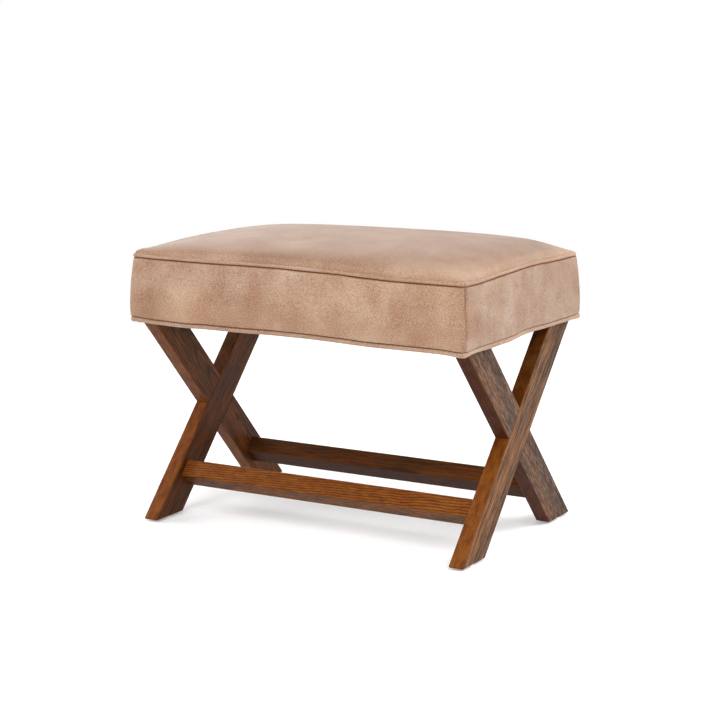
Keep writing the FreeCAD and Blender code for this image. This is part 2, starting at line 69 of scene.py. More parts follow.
# Levels and plan sizes, read from the frame
top_welt_low, top_welt_high = map(Vector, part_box("top_welt"))
low_welt_low, low_welt_high = map(Vector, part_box("bottom_welt"))
hem_low, hem_high = map(Vector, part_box("cover_hem"))
dust_low, dust_high = map(Vector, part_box("dust_cover"))
leg_low, leg_high = map(Vector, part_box("right_leg_front_foot"))
panel_low = Vector(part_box("front_boxing")[0])
foam_low = Vector(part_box("foam_core")[0])
wadding_low = Vector(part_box("wadding")[0])
TOP_WELT_RADIUS = (top_welt_high.z - top_welt_low.z) / 2
LOW_WELT_RADIUS = (low_welt_high.z - low_welt_low.z) / 2
TOP_SEAM = top_welt_low.z
LOW_SEAM = panel_low.z

# Cover
WELT_PROUD = 0.0005         # the top welt beyond the side panels
WELT_CORNER = 0.0062        # outer radius of the welts' corners
PANEL_CORNER = 0.006        # radius of the side panels' corners
COVER_THICKNESS = 0.0015
WELT_WALL = 0.0012          # the cover round the piping cord
WELT_WAVER = 0.00035
TOP_PULL = 0.0016           # the tight top pulls its ends in
BULGE = 0.0021              # how far the side panels swell
BULGE_POWER = 0.8           # under 1 puts the swell below half height
CROWN_START = 0.0054        # above the top seam, tucked into the welt
CROWN_INSET = 0.0018        # the crown's edge is this far in from the welt's outer face
CROWN_RISE = 0.0338
CROWN_CORNER = 0.004        # radius of its corners in plan
CROWN_POWER_X = 2.696
CROWN_POWER_Y = 1.579
CROWN_STEEPNESS_X = 0.3031
CROWN_STEEPNESS_Y = 0.3086
CROWN_TILT = 0.079          # plumper to the right
CORNER_SLACK = (0.183, 0.306, 0.430, 0.079)   # flatter at each corner: front left, then anticlockwise
SLACK_FROM = (0.767, 0.43)  # shares of the half sizes where that starts
CORNER_PUFF = (0.0039, 0.0, 0.0, 0.0026)   # the top's stuffed corners stand up
PUFF_REACH = 0.024
CURL_DEPTH = 0.0015         # the panels' edges turn in to the welts
CURL_WIDTH = 0.0024
CREASE_DEPTH = 0.0011       # the panels' ends turn in to the corner seams
CREASE_WIDTH = 0.0024
UNEVEN = 0.0005             # slack and lumps in the cover
SEAM_LINE = 0.0021          # width of the painted shade in the crease along a seam
END_SEAM_LINE = 0.0017      # and at a panel's ends
JOIN_LINE = 0.0007          # and where it runs on over the top welt
LOW_WELT_SWELL = 0.0006     # the lower welt is stuffed a little fuller
FULL_STRETCH = (0.60, 0.68, 0.76, 0.84)    # where the lower welt is fatter still
FULLER = 0.20
END_SEAM_TONE = 0.75        # the painted seam shade is paler on the two end panels
COVER_SHIFT = -0.0008       # the cover sits a little to the left
LIFT_REACH = 0.09           # the seams' wander dies away this far in from the edge
PANEL_GRID = (112, 36)
CROWN_GRID = (84, 72)
# How far the stuffed corners push each welt out: front left, front right, back right, back left
TOP_CORNERS = (0.0018, 0.0010, 0.0006, 0.0012)
LOW_CORNERS = (0.0020, 0.0020, 0.0036, 0.0020)
CORNER_REACH = 0.020

# Padding: how far in from the cover its crown starts and how far below the top seam, then the steps down its
# sides, each below the top seam and outwards
FOAM_INSET = 0.009
FOAM_DROP = 0.004
FOAM_STEPS = ((0.010, 0.001), (0.03, 0.0))
WADDING_INSET = 0.0046
WADDING_GAP = 0.0005        # under the cover
WADDING_WALL = 0.005
WADDING_STEPS = ((0.006, 0.0026), (0.02, 0.0010), (0.05, 0.0008))
PADDING_GRID = (48, 40)

# Frames
LAP_HEIGHT = 0.1705
LEG_WIDTH = 0.056
LEG_CUT = 0.0761            # the leg's width where it is cut level
STRETCHER_SIZE = 0.031

# Cloth under the seat, with a notch round each leg top
LEG_ROOM = 0.0015
notch_x = leg_low.x - LEG_ROOM
notch_outer = leg_high.y + LEG_ROOM
notch_inner = leg_high.y - LEG_CUT - 2 * LEG_ROOM
HELD_RIM = 0.02             # the dust cover hangs inside this rim
SAG = 0.004
SAG_WAVE = 0.0006
HEM_WIDTH = 0.020
HEM_THICKNESS = 0.001
HEM_LIFT = 0.0001
HEM_WAVE = 0.00025
HEM_RIM = 0.01              # the waves grow over this far in from the welt

LOW_HALF_X = low_welt_high.x
LOW_HALF_Y = low_welt_high.y
TOP_HALF_X = top_welt_high.x - WELT_PROUD - TOP_PULL
TOP_HALF_Y = top_welt_high.y - WELT_PROUD

# Where the seams wander, in millimetres up at so many along the seam from the front left corner
TOP_WAVES = ((0, 1.8), (60, 0.8), (150, 0.6), (220, 1.4), (280, 1.4), (310, 0.2), (370, -0.4), (420, -3.0),
             (470, -4.6), (560, -4.7), (590, -4.3), (625, -5.3), (660, -4.4), (710, -2.8), (740, -1.9),
             (790, -0.5), (830, -0.4), (870, -1.9), (920, -3.1), (970, -3.4), (1030, -2.2), (1120, -1.2),
             (1220, -1.6), (1340, 0.0), (1620, 0.0), (1740, -1.2), (1850, 0.0), (1970, 1.8))
LOW_WAVES = ((0, 3.2), (50, 1.2), (100, 0.2), (150, 1.4), (200, 1.2), (260, 2.3), (330, 1.9), (380, 0.5),
             (430, -1.2), (520, -1.4), (550, -1.6), (585, -3.7), (620, -1.5), (670, -1.9), (740, -1.8),
             (780, 1.4), (810, 1.2), (870, -0.8), (970, -1.6), (1050, 0.0), (1180, -1.2), (1300, 0.0),
             (1580, 0.0), (1710, 1.0), (1850, 0.5), (1970, 3.2))


# Meshes

def new_object(name, data):
    made = bpy.data.objects.new(name, data)
    bpy.context.scene.collection.objects.link(made)
    return made


def mesh_object(name, shape, material):
    """Writes a bmesh to a new object."""
    mesh = bpy.data.meshes.new(name)
    shape.to_mesh(mesh)
    shape.free()
    mesh.materials.append(material)
    return new_object(name, mesh)


def mesh_piece(name, shape, material, node, smooth=True):
    """A new piece that rides with the stool, in place of a solid one."""
    piece = mesh_object(name, shape, material)
    for face in piece.data.polygons:
        face.use_smooth = smooth
    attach(piece, "root")
    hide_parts(node)
    return piece


def thicken(piece, thickness):
    """Gives a skin its wall, inwards from the face that shows."""
    wall = piece.modifiers.new("wall", "SOLIDIFY")
    wall.thickness = thickness
    wall.offset = -1
    wall.use_quality_normals = True
    return piece


def smooth_step(start, end, value):
    share = min(max((value - start) / (end - start), 0), 1)
    return share * share * (3 - 2 * share)


def way_round(x, y):
    """Distance along the seam from the front left corner, anticlockwise from above."""
    if abs(y) * TOP_HALF_X >= abs(x) * TOP_HALF_Y:
        if y < 0:
            return TOP_HALF_X + x
        return 3 * TOP_HALF_X + 2 * TOP_HALF_Y - x
    if x > 0:
        return 2 * TOP_HALF_X + TOP_HALF_Y + y
    return 4 * TOP_HALF_X + 3 * TOP_HALF_Y - y


def seam_lift(waves, distance):
    """How far the seam lies above its level at this distance along it."""
    along = distance * 1000
    for (start, before), (end, after) in zip(waves, waves[1:]):
        if along <= end:
            return (before + (after - before) * smooth_step(start, end, along)) / 1000
    return waves[-1][1] / 1000


def settled(point):
    """Where a point of the cover lies once it is sewn, with seams that wander a little."""
    distance = way_round(point.x, point.y)
    share = min(max((point.z - LOW_SEAM) / (TOP_SEAM - LOW_SEAM), 0), 1)
    inwards = min(TOP_HALF_X - abs(point.x), TOP_HALF_Y - abs(point.y))
    near = 1 - smooth_step(0.0, LIFT_REACH, inwards)
    lift = share * seam_lift(TOP_WAVES, distance) + (1 - share) * seam_lift(LOW_WAVES, distance)
    return Vector((point.x + COVER_SHIFT, point.y, point.z + lift * near))


def corner_of(x, y):
    """0 to 3, anticlockwise from the front left."""
    if y < 0:
        return 0 if x < 0 else 1
    return 2 if x > 0 else 3


def swell(height_share):
    low_share = height_share ** BULGE_POWER
    return BULGE * 4 * low_share * (1 - low_share)


def lumps(point, size, seed):
    """Soft unevenness from -1 to 1 at this size."""
    return noise.noise(point / size + Vector((seed, seed * 1.7, -seed)))


def panel_point(across, height_share, half_low, half_top):
    """A point of the side panel that faces -Y, from -1 to 1 across and 0 to 1 up."""
    swollen = swell(height_share)
    half_x = half_low[0] + (half_top[0] - half_low[0]) * height_share + swollen
    half_y = half_low[1] + (half_top[1] - half_low[1]) * height_share + swollen
    straight = half_x - PANEL_CORNER
    reach = straight + PANEL_CORNER * math.pi / 4
    along = abs(across) * reach
    turn = max(0, along - straight) / PANEL_CORNER
    x = min(along, straight) + PANEL_CORNER * math.sin(turn)
    y = half_y - PANEL_CORNER + PANEL_CORNER * math.cos(turn)
    z = LOW_SEAM + height_share * (TOP_SEAM - LOW_SEAM)
    to_seam = max(0, 1 - (reach - along) / CREASE_WIDTH)
    to_top = max(0, 1 - (TOP_SEAM - z) / CURL_WIDTH)
    to_low = max(0, 1 - (z - LOW_SEAM) / CURL_WIDTH)
    inwards = CREASE_DEPTH * to_seam ** 2 + CURL_DEPTH * max(to_top, to_low) ** 2
    x -= math.sin(turn) * inwards
    y -= math.cos(turn) * inwards
    return Vector((math.copysign(x, across), -y, z))


def seam_shade(across, height_share, half_width):
    """How much painted shade the seam crease gets here: along both edges, and at the ends where it fades
    downwards.
    """
    height = TOP_SEAM - LOW_SEAM
    to_top = max(0, 1 - (1 - height_share) * height / SEAM_LINE)
    to_low = max(0, 1 - height_share * height / SEAM_LINE)
    to_end = max(0, 1 - (1 - abs(across)) * half_width / END_SEAM_LINE)
    return max(to_top, 0.8 * to_low, to_end * (0.16 + 0.5 * smooth_step(0.25, 0.9, height_share)))


def make_side_panel(name, node, quarter_turns, material, seed):
    """One side panel, made facing -Y and turned to its side by quarter turns."""
    half_low = (LOW_HALF_X, LOW_HALF_Y)
    half_top = (TOP_HALF_X, TOP_HALF_Y)
    if quarter_turns % 2:
        half_low = half_low[::-1]
        half_top = half_top[::-1]
    turn = Matrix.Rotation(quarter_turns * math.pi / 2, 4, "Z")
    shape = bmesh.new()
    bmesh.ops.create_grid(shape, x_segments=PANEL_GRID[0], y_segments=PANEL_GRID[1], size=1)
    outwards = turn @ Vector((0, -1, 0))
    # The seam attribute carries the painted shade of the panel's creases
    seam = shape.verts.layers.float.new("seam")
    tone = END_SEAM_TONE if quarter_turns % 2 else 1
    for vertex in shape.verts:
        across = math.sin(vertex.co.x * math.pi / 2)
        height_share = (1 + math.sin(vertex.co.y * math.pi / 2)) / 2
        vertex[seam] = tone * seam_shade(across, height_share, half_low[0])
        place = turn @ panel_point(across, height_share, half_low, half_top)
        slack = 4 * height_share * (1 - height_share)
        wide = lumps(Vector((place.x, place.y, place.z * 0.4)), 0.075, seed)
        place += outwards * UNEVEN * slack * (wide + 0.4 * lumps(place, 0.03, seed + 3))
        vertex.co = settled(place)
    bmesh.ops.recalc_face_normals(shape, faces=shape.faces)
    middle = shape.faces[len(shape.faces) // 2]
    if middle.normal.dot(outwards) < 0:
        bmesh.ops.reverse_faces(shape, faces=shape.faces)
    thicken(mesh_piece(name, shape, material, node), COVER_THICKNESS)


def crown_height(share_x, share_y):
    """How far the crown has risen, from 0 at its edge to about 1 in the middle."""
    over_x = max(0, 1 - abs(share_x) ** CROWN_POWER_X) ** CROWN_STEEPNESS_X
    over_y = max(0, 1 - abs(share_y) ** CROWN_POWER_Y) ** CROWN_STEEPNESS_Y
    near = smooth_step(SLACK_FROM[0], 1, abs(share_x)) * smooth_step(SLACK_FROM[1], 1, abs(share_y))
    slack = CORNER_SLACK[corner_of(share_x, share_y)] * near
    return over_x * over_y * (1 - slack)


def corner_puff(share_x, share_y, half_x, half_y):
    """How far a stuffed corner stands above the crown's own line."""
    beside = (1 - abs(share_x)) * half_x
    behind = (1 - abs(share_y)) * half_y
    near = math.exp(-(beside ** 2 + behind ** 2) / PUFF_REACH ** 2)
    steep = ((1 - abs(share_x) ** 80) * (1 - abs(share_y) ** 60)) ** 0.35
    return CORNER_PUFF[corner_of(share_x, share_y)] * near * steep


def crowded(share):
    """Grid lines crowd together towards the edge, where the crown is steep."""
    near = 1 - (1 - abs(share)) ** 1.5
    return math.copysign(math.sin(near * math.pi / 2), share)


def round_corner(x, y, half_x, half_y, radius):
    """Pulls the corner of a rectangular grid in to a rounded one."""
    over_x = abs(x) - (half_x - radius)
    over_y = abs(y) - (half_y - radius)
    if over_x <= 0 or over_y <= 0:
        return x, y
    shrink = max(over_x, over_y) / math.hypot(over_x, over_y)
    return (math.copysign(half_x - radius + over_x * shrink, x),
            math.copysign(half_y - radius + over_y * shrink, y))


def crown_shape(inset, base_z, seed, grid=CROWN_GRID):
    """The crown as a skin, drawn in by inset all over."""
    half_x = TOP_HALF_X + WELT_PROUD - CROWN_INSET - inset
    half_y = TOP_HALF_Y + WELT_PROUD - CROWN_INSET - inset
    shape = bmesh.new()
    bmesh.ops.create_grid(shape, x_segments=grid[0], y_segments=grid[1], size=1)
    for vertex in shape.verts:
        share_x = crowded(vertex.co.x)
        share_y = crowded(vertex.co.y)
        rise = crown_height(share_x, share_y)
        x, y = round_corner(share_x * half_x, share_y * half_y, half_x, half_y, CROWN_CORNER)
        puff = corner_puff(share_x, share_y, half_x, half_y)
        place = Vector((x, y, base_z + puff + CROWN_RISE * rise * (1 + CROWN_TILT * share_x)))
        place.z += UNEVEN * rise * (lumps(place, 0.09, seed) + 0.4 * lumps(place, 0.035, seed + 5))
        vertex.co = settled(place)
    return shape


def make_crowned_top(material):
    shape = crown_shape(0, TOP_SEAM + CROWN_START, 2.3)
    piece = thicken(mesh_piece("crowned_top", shape, material, "top_panel"), COVER_THICKNESS)


def outer_border(shape):
    return [edge for edge in shape.edges if edge.is_boundary]


def drop_border(shape, levels):
    """Extrudes the border down in steps: each level is its height and how far out it goes."""
    for z, out in levels:
        made = bmesh.ops.extrude_edge_only(shape, edges=outer_border(shape))
        for vertex in (v for v in made["geom"] if isinstance(v, bmesh.types.BMVert)):
            vertex.co.z = z
            vertex.co.x += math.copysign(out, vertex.co.x) if abs(vertex.co.x) > TOP_HALF_X * 0.9 else 0
            vertex.co.y += math.copysign(out, vertex.co.y) if abs(vertex.co.y) > TOP_HALF_Y * 0.9 else 0


def make_foam_block(material):
    """The crowned foam core, standing on the deck."""
    shape = crown_shape(FOAM_INSET, TOP_SEAM - FOAM_DROP, 4.1, PADDING_GRID)
    drop_border(shape, [(TOP_SEAM - down, out) for down, out in FOAM_STEPS] + [(foam_low.z, 0.0)])
    bmesh.ops.edgeloop_fill(shape, edges=outer_border(shape))
    bmesh.ops.recalc_face_normals(shape, faces=shape.faces)
    piece = mesh_piece("foam_block", shape, material, "foam_core")


def make_wadding(material):
    """The soft layer over the foam and down the sides of the frame."""
    start = TOP_SEAM + CROWN_START - COVER_THICKNESS - WADDING_GAP
    shape = crown_shape(WADDING_INSET, start, 5.7, PADDING_GRID)
    drop_border(shape, [(TOP_SEAM - down, out) for down, out in WADDING_STEPS] +
                [(wadding_low.z + 0.02, 0.0), (wadding_low.z, -0.0006)])
    bmesh.ops.recalc_face_normals(shape, faces=shape.faces)
    piece = thicken(mesh_piece("wadding_layer", shape, material, "wadding"), WADDING_WALL)


def rounded_route(half_x, half_y, radius, z, on_side=26, on_corner=5):
    """Points along a rounded rectangle, anticlockwise from above."""
    arcs = []
    for side_x, side_y, first_angle in ((1, -1, -90), (1, 1, 0), (-1, 1, 90), (-1, -1, 180)):
        middle = Vector((side_x * (half_x - radius), side_y * (half_y - radius), z))
        angles = [math.radians(first_angle + 90 * step / on_corner) for step in range(on_corner + 1)]
        arcs.append([middle + radius * Vector((math.cos(angle), math.sin(angle), 0)) for angle in angles])
    points = []
    for arc, following in zip(arcs, arcs[1:] + arcs[:1]):
        points += arc
        for step in range(1, on_side):
            share = (1 - math.cos(math.pi * step / on_side)) / 2
            points.append(arc[-1].lerp(following[0], share))
    return points


def mark_joins(shape, half_x, half_y):
    """Marks painted shade on the cord where the panels' corner seams run on over it."""
    seam = shape.verts.layers.float.new("seam")
    for vertex in shape.verts:
        off_corner = abs(abs(vertex.co.x - COVER_SHIFT) - half_x - abs(vertex.co.y) + half_y)
        vertex[seam] = 0.45 * max(0, 1 - off_corner / JOIN_LINE)


def fullness(place):
    """How fat the lower welt is here, next to elsewhere."""
    distance = way_round(place.x, place.y)
    start, full, going, end = FULL_STRETCH
    return 1 + FULLER * smooth_step(start, full, distance) * (1 - smooth_step(going, end, distance))


def make_tube(name, node, route, radius, material, joins=None, fatness=None):
    """A round cord along a closed route."""
    line = bpy.data.curves.new(name + "_line", "CURVE")
    line.dimensions = "3D"
    line.bevel_depth = radius
    line.bevel_resolution = 5
    line.resolution_u = 2
    spline = line.splines.new("NURBS")
    spline.points.add(len(route) - 1)
    for point, place in zip(spline.points, route):
        point.co = (*place, 1)
        point.radius = fatness(place) if fatness else 1
    spline.use_cyclic_u = True
    spline.order_u = 3
    holder = bpy.data.objects.new(name + "_line", line)
    shape = bmesh.new()
    shape.from_mesh(bpy.data.meshes.new_from_object(holder))
    bpy.data.objects.remove(holder)
    bmesh.ops.remove_doubles(shape, verts=shape.verts, dist=1e-6)
    bmesh.ops.recalc_face_normals(shape, faces=shape.faces)
    if joins:
        mark_joins(shape, *joins)
    mesh_piece(name, shape, material, node)


def welt_route(half_x, half_y, radius, level, corners, seed):
    """A welt's middle line: it bends round the corners and isn't quite straight."""
    places = []
    for point in rounded_route(half_x, half_y, WELT_CORNER - radius, level):
        place = settled(point)
        to_corner = math.hypot(half_x - abs(point.x), half_y - abs(point.y))
        near = 1 - smooth_step(0.0, CORNER_REACH, to_corner)
        out = corners[corner_of(point.x, point.y)] * near * math.sqrt(0.5)
        place.x += math.copysign(out, point.x)
        place.y += math.copysign(out, point.y)
        place.z += WELT_WAVER * lumps(place, 0.03, seed)
        places.append(place)
    return places


def make_welts(leather, cord):
    top = welt_route(TOP_HALF_X + WELT_PROUD - TOP_WELT_RADIUS, TOP_HALF_Y + WELT_PROUD - TOP_WELT_RADIUS,
                     TOP_WELT_RADIUS, TOP_SEAM + TOP_WELT_RADIUS, TOP_CORNERS, 1.3)
    low_radius = LOW_WELT_RADIUS + LOW_WELT_SWELL
    low = welt_route(LOW_HALF_X - low_radius, LOW_HALF_Y - low_radius, low_radius,
                     low_welt_low.z + LOW_WELT_RADIUS, LOW_CORNERS, 6.1)
    make_tube("upper_welt", "top_welt", top, TOP_WELT_RADIUS, leather, (TOP_HALF_X, TOP_HALF_Y))
    make_tube("lower_welt", "bottom_welt", low, low_radius, leather, fatness=fullness)
    make_tube("upper_piping", "top_piping_cord", top, TOP_WELT_RADIUS - WELT_WALL, cord)
    make_tube("lower_piping", "bottom_piping_cord", low, low_radius - WELT_WALL, cord)


# Cloth under the seat

def cut_sheet(half_x, half_y, z, grid, cut_x, cut_y, is_cut):
    """A flat sheet with straight cuts along these lines, less the faces that is_cut names."""
    shape = bmesh.new()
    bmesh.ops.create_grid(shape, x_segments=grid[0], y_segments=grid[1], size=1)
    bmesh.ops.scale(shape, vec=(half_x, half_y, 1), verts=shape.verts)
    bmesh.ops.translate(shape, vec=(0, 0, z), verts=shape.verts)
    for axis, lines in ((Vector((1, 0, 0)), cut_x), (Vector((0, 1, 0)), cut_y)):
        for line in lines:
            for place in (-line, line):
                geometry = shape.verts[:] + shape.edges[:] + shape.faces[:]
                bmesh.ops.bisect_plane(shape, geom=geometry, dist=1e-6, plane_co=axis * place, plane_no=axis)
    gone = [face for face in shape.faces if is_cut(face.calc_center_median())]
    bmesh.ops.delete(shape, geom=gone, context="FACES")
    return shape


def make_underside_cloth(material):
    """The dust cover: thin cloth stapled under the rails, sagging a little in the middle."""
    def is_notch(middle):
        return abs(middle.x) > notch_x and abs(middle.y) > notch_inner

    half_x, half_y = dust_high.x, dust_high.y
    shape = cut_sheet(half_x, half_y, dust_high.z, (56, 38), [notch_x], [notch_inner], is_notch)
    for vertex in shape.verts:
        sag_x = max(0, 1 - (vertex.co.x / (half_x - HELD_RIM)) ** 2)
        sag_y = max(0, 1 - (vertex.co.y / (half_y - HELD_RIM)) ** 2)
        vertex.co.z -= SAG * (sag_x * sag_y) ** 0.8
        vertex.co.z -= SAG_WAVE * (sag_x * sag_y) ** 0.5 * (1 + lumps(vertex.co, 0.06, 8.2))
    piece = mesh_piece("underside_cloth", shape, material, "dust_cover")
    thicken(piece, dust_high.z - dust_low.z)


def make_turned_hem(material):
    """The strip of cover sewn to the lower welt and turned in under the rails."""
    rail_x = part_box("right_rail")[1][0]
    rail_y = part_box("back_rail")[1][1]
    open_x = rail_x - HEM_WIDTH
    open_y = rail_y - HEM_WIDTH

    def is_cut(middle):
        is_open = abs(middle.x) < open_x and abs(middle.y) < open_y
        is_notch = abs(middle.x) > notch_x and notch_inner < abs(middle.y) < notch_outer
        return is_open or is_notch

    shape = cut_sheet(hem_high.x, hem_high.y, hem_low.z + HEM_LIFT, (64, 44), [open_x, notch_x],
                      [open_y, notch_inner, notch_outer], is_cut)
    for vertex in shape.verts:
        inside = min(hem_high.x - abs(vertex.co.x), hem_high.y - abs(vertex.co.y))
        vertex.co.z -= HEM_WAVE * min(1, inside / HEM_RIM) * (1 + lumps(vertex.co, 0.02, 9.4)) / 2
    rim = []
    for edge in outer_border(shape):
        on_x = all(abs(abs(v.co.x) - hem_high.x) < 1e-5 for v in edge.verts)
        on_y = all(abs(abs(v.co.y) - hem_high.y) < 1e-5 for v in edge.verts)
        if on_x or on_y:
            rim.append(edge)
    made = bmesh.ops.extrude_edge_only(shape, edges=rim)
    raised = [v for v in made["geom"] if isinstance(v, bmesh.types.BMVert)]
    bmesh.ops.translate(shape, vec=(0, 0, hem_high.z - hem_low.z), verts=raised)
    bmesh.ops.recalc_face_normals(shape, faces=shape.faces)
    piece = mesh_piece("turned_hem", shape, material, "cover_hem", smooth=False)
    thicken(piece, HEM_THICKNESS)


# Materials

def new_material(name):
    """A new material and its node tree."""
    material = bpy.data.materials.new(name)
    material.use_nodes = True
    return material, material.node_tree


def feed(socket, value):
    """Links a node's output to this input, or stores a plain value there. Colours are given without alpha."""
    if isinstance(value, bpy.types.NodeSocket):
        socket.id_data.links.new(value, socket)
    elif socket.type == "RGBA":
        socket.default_value = (*value, 1)
    else:
        socket.default_value = value


def add(tree, kind, inputs=None, **settings):
    """A node with its settings, and its inputs fed."""
    made = tree.nodes.new(kind)
    for key, value in settings.items():
        setattr(made, key, value)
    for key, value in (inputs or {}).items():
        feed(made.inputs[key], value)
    return made


def dress(material, finish):
    """Feeds the shader's own inputs."""
    shader = material.node_tree.nodes["Principled BSDF"]
    for key, value in finish.items():
        feed(shader.inputs[key], value)
    return material


def maths(tree, operation, first, second=0.0, third=0.0):
    return add(tree, "ShaderNodeMath", {0: first, 1: second, 2: third}, operation=operation).outputs[0]


def times(tree, first, *others):
    for other in others:
        first = maths(tree, "MULTIPLY", first, other)
    return first


def scaled(tree, value, factor, plus):
    return maths(tree, "MULTIPLY_ADD", value, factor, plus)


def fade(tree, value, low, high, out_low=0.0, out_high=1.0):
    """Maps low..high to the output range, smoothly and clamped."""
    inputs = {"Value": value, "From Min": low, "From Max": high, "To Min": out_low, "To Max": out_high}
    return add(tree, "ShaderNodeMapRange", inputs, interpolation_type="SMOOTHSTEP").outputs["Result"]


def vectors(tree, operation, first, second=(0, 0, 0), output="Vector"):
    return add(tree, "ShaderNodeVectorMath", {0: first, 1: second}, operation=operation).outputs[output]


def combined(tree, x, y, z):
    return add(tree, "ShaderNodeCombineXYZ", {0: x, 1: y, 2: z}).outputs[0]


def separated(tree, vector):
    return add(tree, "ShaderNodeSeparateXYZ", {0: vector}).outputs


def mixed(tree, share, first, second, blend="MIX"):
    made = add(tree, "ShaderNodeMix", {0: share, 6: first, 7: second}, data_type="RGBA", blend_type=blend)
    return made.outputs[2]


def tinted(tree, base, tone):
    return mixed(tree, 1.0, base, tone, "MULTIPLY")


def toned(colour, tone):
    return tuple(value * share for value, share in zip(colour, tone))


def ramp(tree, value, stops):
    made = add(tree, "ShaderNodeValToRGB", {0: value})
    elements = made.color_ramp.elements
    while len(elements) < len(stops):
        elements.new(0.5)
    for element, (position, colour) in zip(elements, stops):
        element.position = position
        element.color = (*colour, 1)
    return made.outputs["Color"]


def placed(tree, location=(0, 0, 0), rotation=(0, 0, 0)):
    """Object coordinates, turned and then moved."""
    at = add(tree, "ShaderNodeTexCoord").outputs["Object"]
    inputs = {"Vector": at, "Location": location, "Rotation": rotation}
    return add(tree, "ShaderNodeMapping", inputs).outputs["Vector"]


def noise_of(tree, vector, scale, detail=2.0, roughness=0.5, output="Fac"):
    """Noise at one scale, or at one for each axis."""
    if isinstance(scale, tuple):
        vector = vectors(tree, "MULTIPLY", vector, scale)
        scale = 1.0
    inputs = {"Vector": vector, "Scale": scale, "Detail": detail, "Roughness": roughness}
    return add(tree, "ShaderNodeTexNoise", inputs).outputs[output]


def bump(tree, height, strength, distance):
    inputs = {"Height": height, "Strength": strength, "Distance": distance}
    return add(tree, "ShaderNodeBump", inputs).outputs["Normal"]


# Tan leather: from darker to paler, the rosy and the worn patches, between the pebbles, and the painted shade
# in a seam crease
TAN = ((0.312, 0.176, 0.109), (0.352, 0.214, 0.139), (0.386, 0.250, 0.171))
ROSY_TAN = (0.306, 0.160, 0.097)
WORN_TAN = (0.425, 0.292, 0.208)
VALLEY_TAN = (0.215, 0.100, 0.056)
SEAM_SHADE_TAN = (0.110, 0.026, 0.004)
COVER_GLOSS = 0.35
SEAM_GLOSS = 0.04
# Its noise, as scale, detail and roughness, and its pebble grain
CLOUDS = (10.0, 3.0, 0.55)
PATCHES = (15.0, 4.0, 0.58)
SPECKS = (500.0, 3.0, 0.6)
WARP = (340.0, 2.0, 0.5)
WARP_REACH = 0.0018
PEBBLE_SCALE = 490.0
PEBBLE_HEIGHT = 0.00025
# Painted light: the crown is made paler along its steep lower edge, between these heights
EDGE_LIGHT_LEVELS = (0.436, 0.452)
EDGE_LIGHT_TONE = (1.33, 1.38, 1.44)
# Soft patches of the cover: a place, a reach and a tone
FRONT_SPOTS = (((-0.270, -0.203, 0.350), 0.060, (0.83, 0.75, 0.68)),
               ((-0.185, -0.203, 0.356), 0.070, (1.16, 1.21, 1.19)),
               ((-0.085, -0.203, 0.348), 0.050, (0.93, 0.86, 0.82)),
               ((0.010, -0.203, 0.412), 0.060, (1.09, 1.15, 1.19)),
               ((0.150, -0.203, 0.408), 0.070, (1.08, 1.14, 1.15)),
               ((0.262, -0.203, 0.410), 0.044, (1.12, 1.18, 1.20)),
               ((0.265, -0.203, 0.345), 0.040, (1.02, 1.04, 1.04)))
TOP_SPOTS = (((-0.120, -0.150, 0.452), 0.070, (0.93, 0.87, 0.81)),
             ((-0.150, -0.192, 0.438), 0.075, (1.08, 1.12, 1.17)),
             ((-0.065, -0.040, 0.464), 0.090, (0.96, 0.97, 0.95)),
             ((0.265, 0.050, 0.455), 0.100, (0.91, 0.94, 0.95)))
RIGHT_SPOTS = (((0.300, -0.190, 0.375), 0.045, (0.92, 0.80, 0.72)),
               ((0.300, -0.125, 0.410), 0.060, (1.07, 1.10, 1.08)),
               ((0.300, -0.120, 0.345), 0.050, (1.03, 1.07, 1.05)),
               ((0.300, 0.060, 0.395), 0.090, (1.02, 1.06, 1.07)),
               ((0.300, 0.180, 0.370), 0.080, (0.93, 0.93, 0.92)))


def toned_spots(tree, here, base, spots):
    """Soft patches, each a place, a reach and the tone it gives."""
    for place, reach, tone in spots:
        away = vectors(tree, "DISTANCE", here, place, "Value")
        base = mixed(tree, fade(tree, away, reach * 0.25, reach, 1.0, 0.0), base, tinted(tree, base, tone))
    return base


def pebble_cells(tree, at):
    """Distance to the edge of each pebble of the grain."""
    warp = vectors(tree, "MULTIPLY", noise_of(tree, at, *WARP, "Color"), (WARP_REACH,) * 3)
    inputs = {"Vector": vectors(tree, "ADD", at, warp), "Scale": PEBBLE_SCALE, "Randomness": 1.0}
    return add(tree, "ShaderNodeTexVoronoi", inputs, feature="DISTANCE_TO_EDGE").outputs["Distance"]


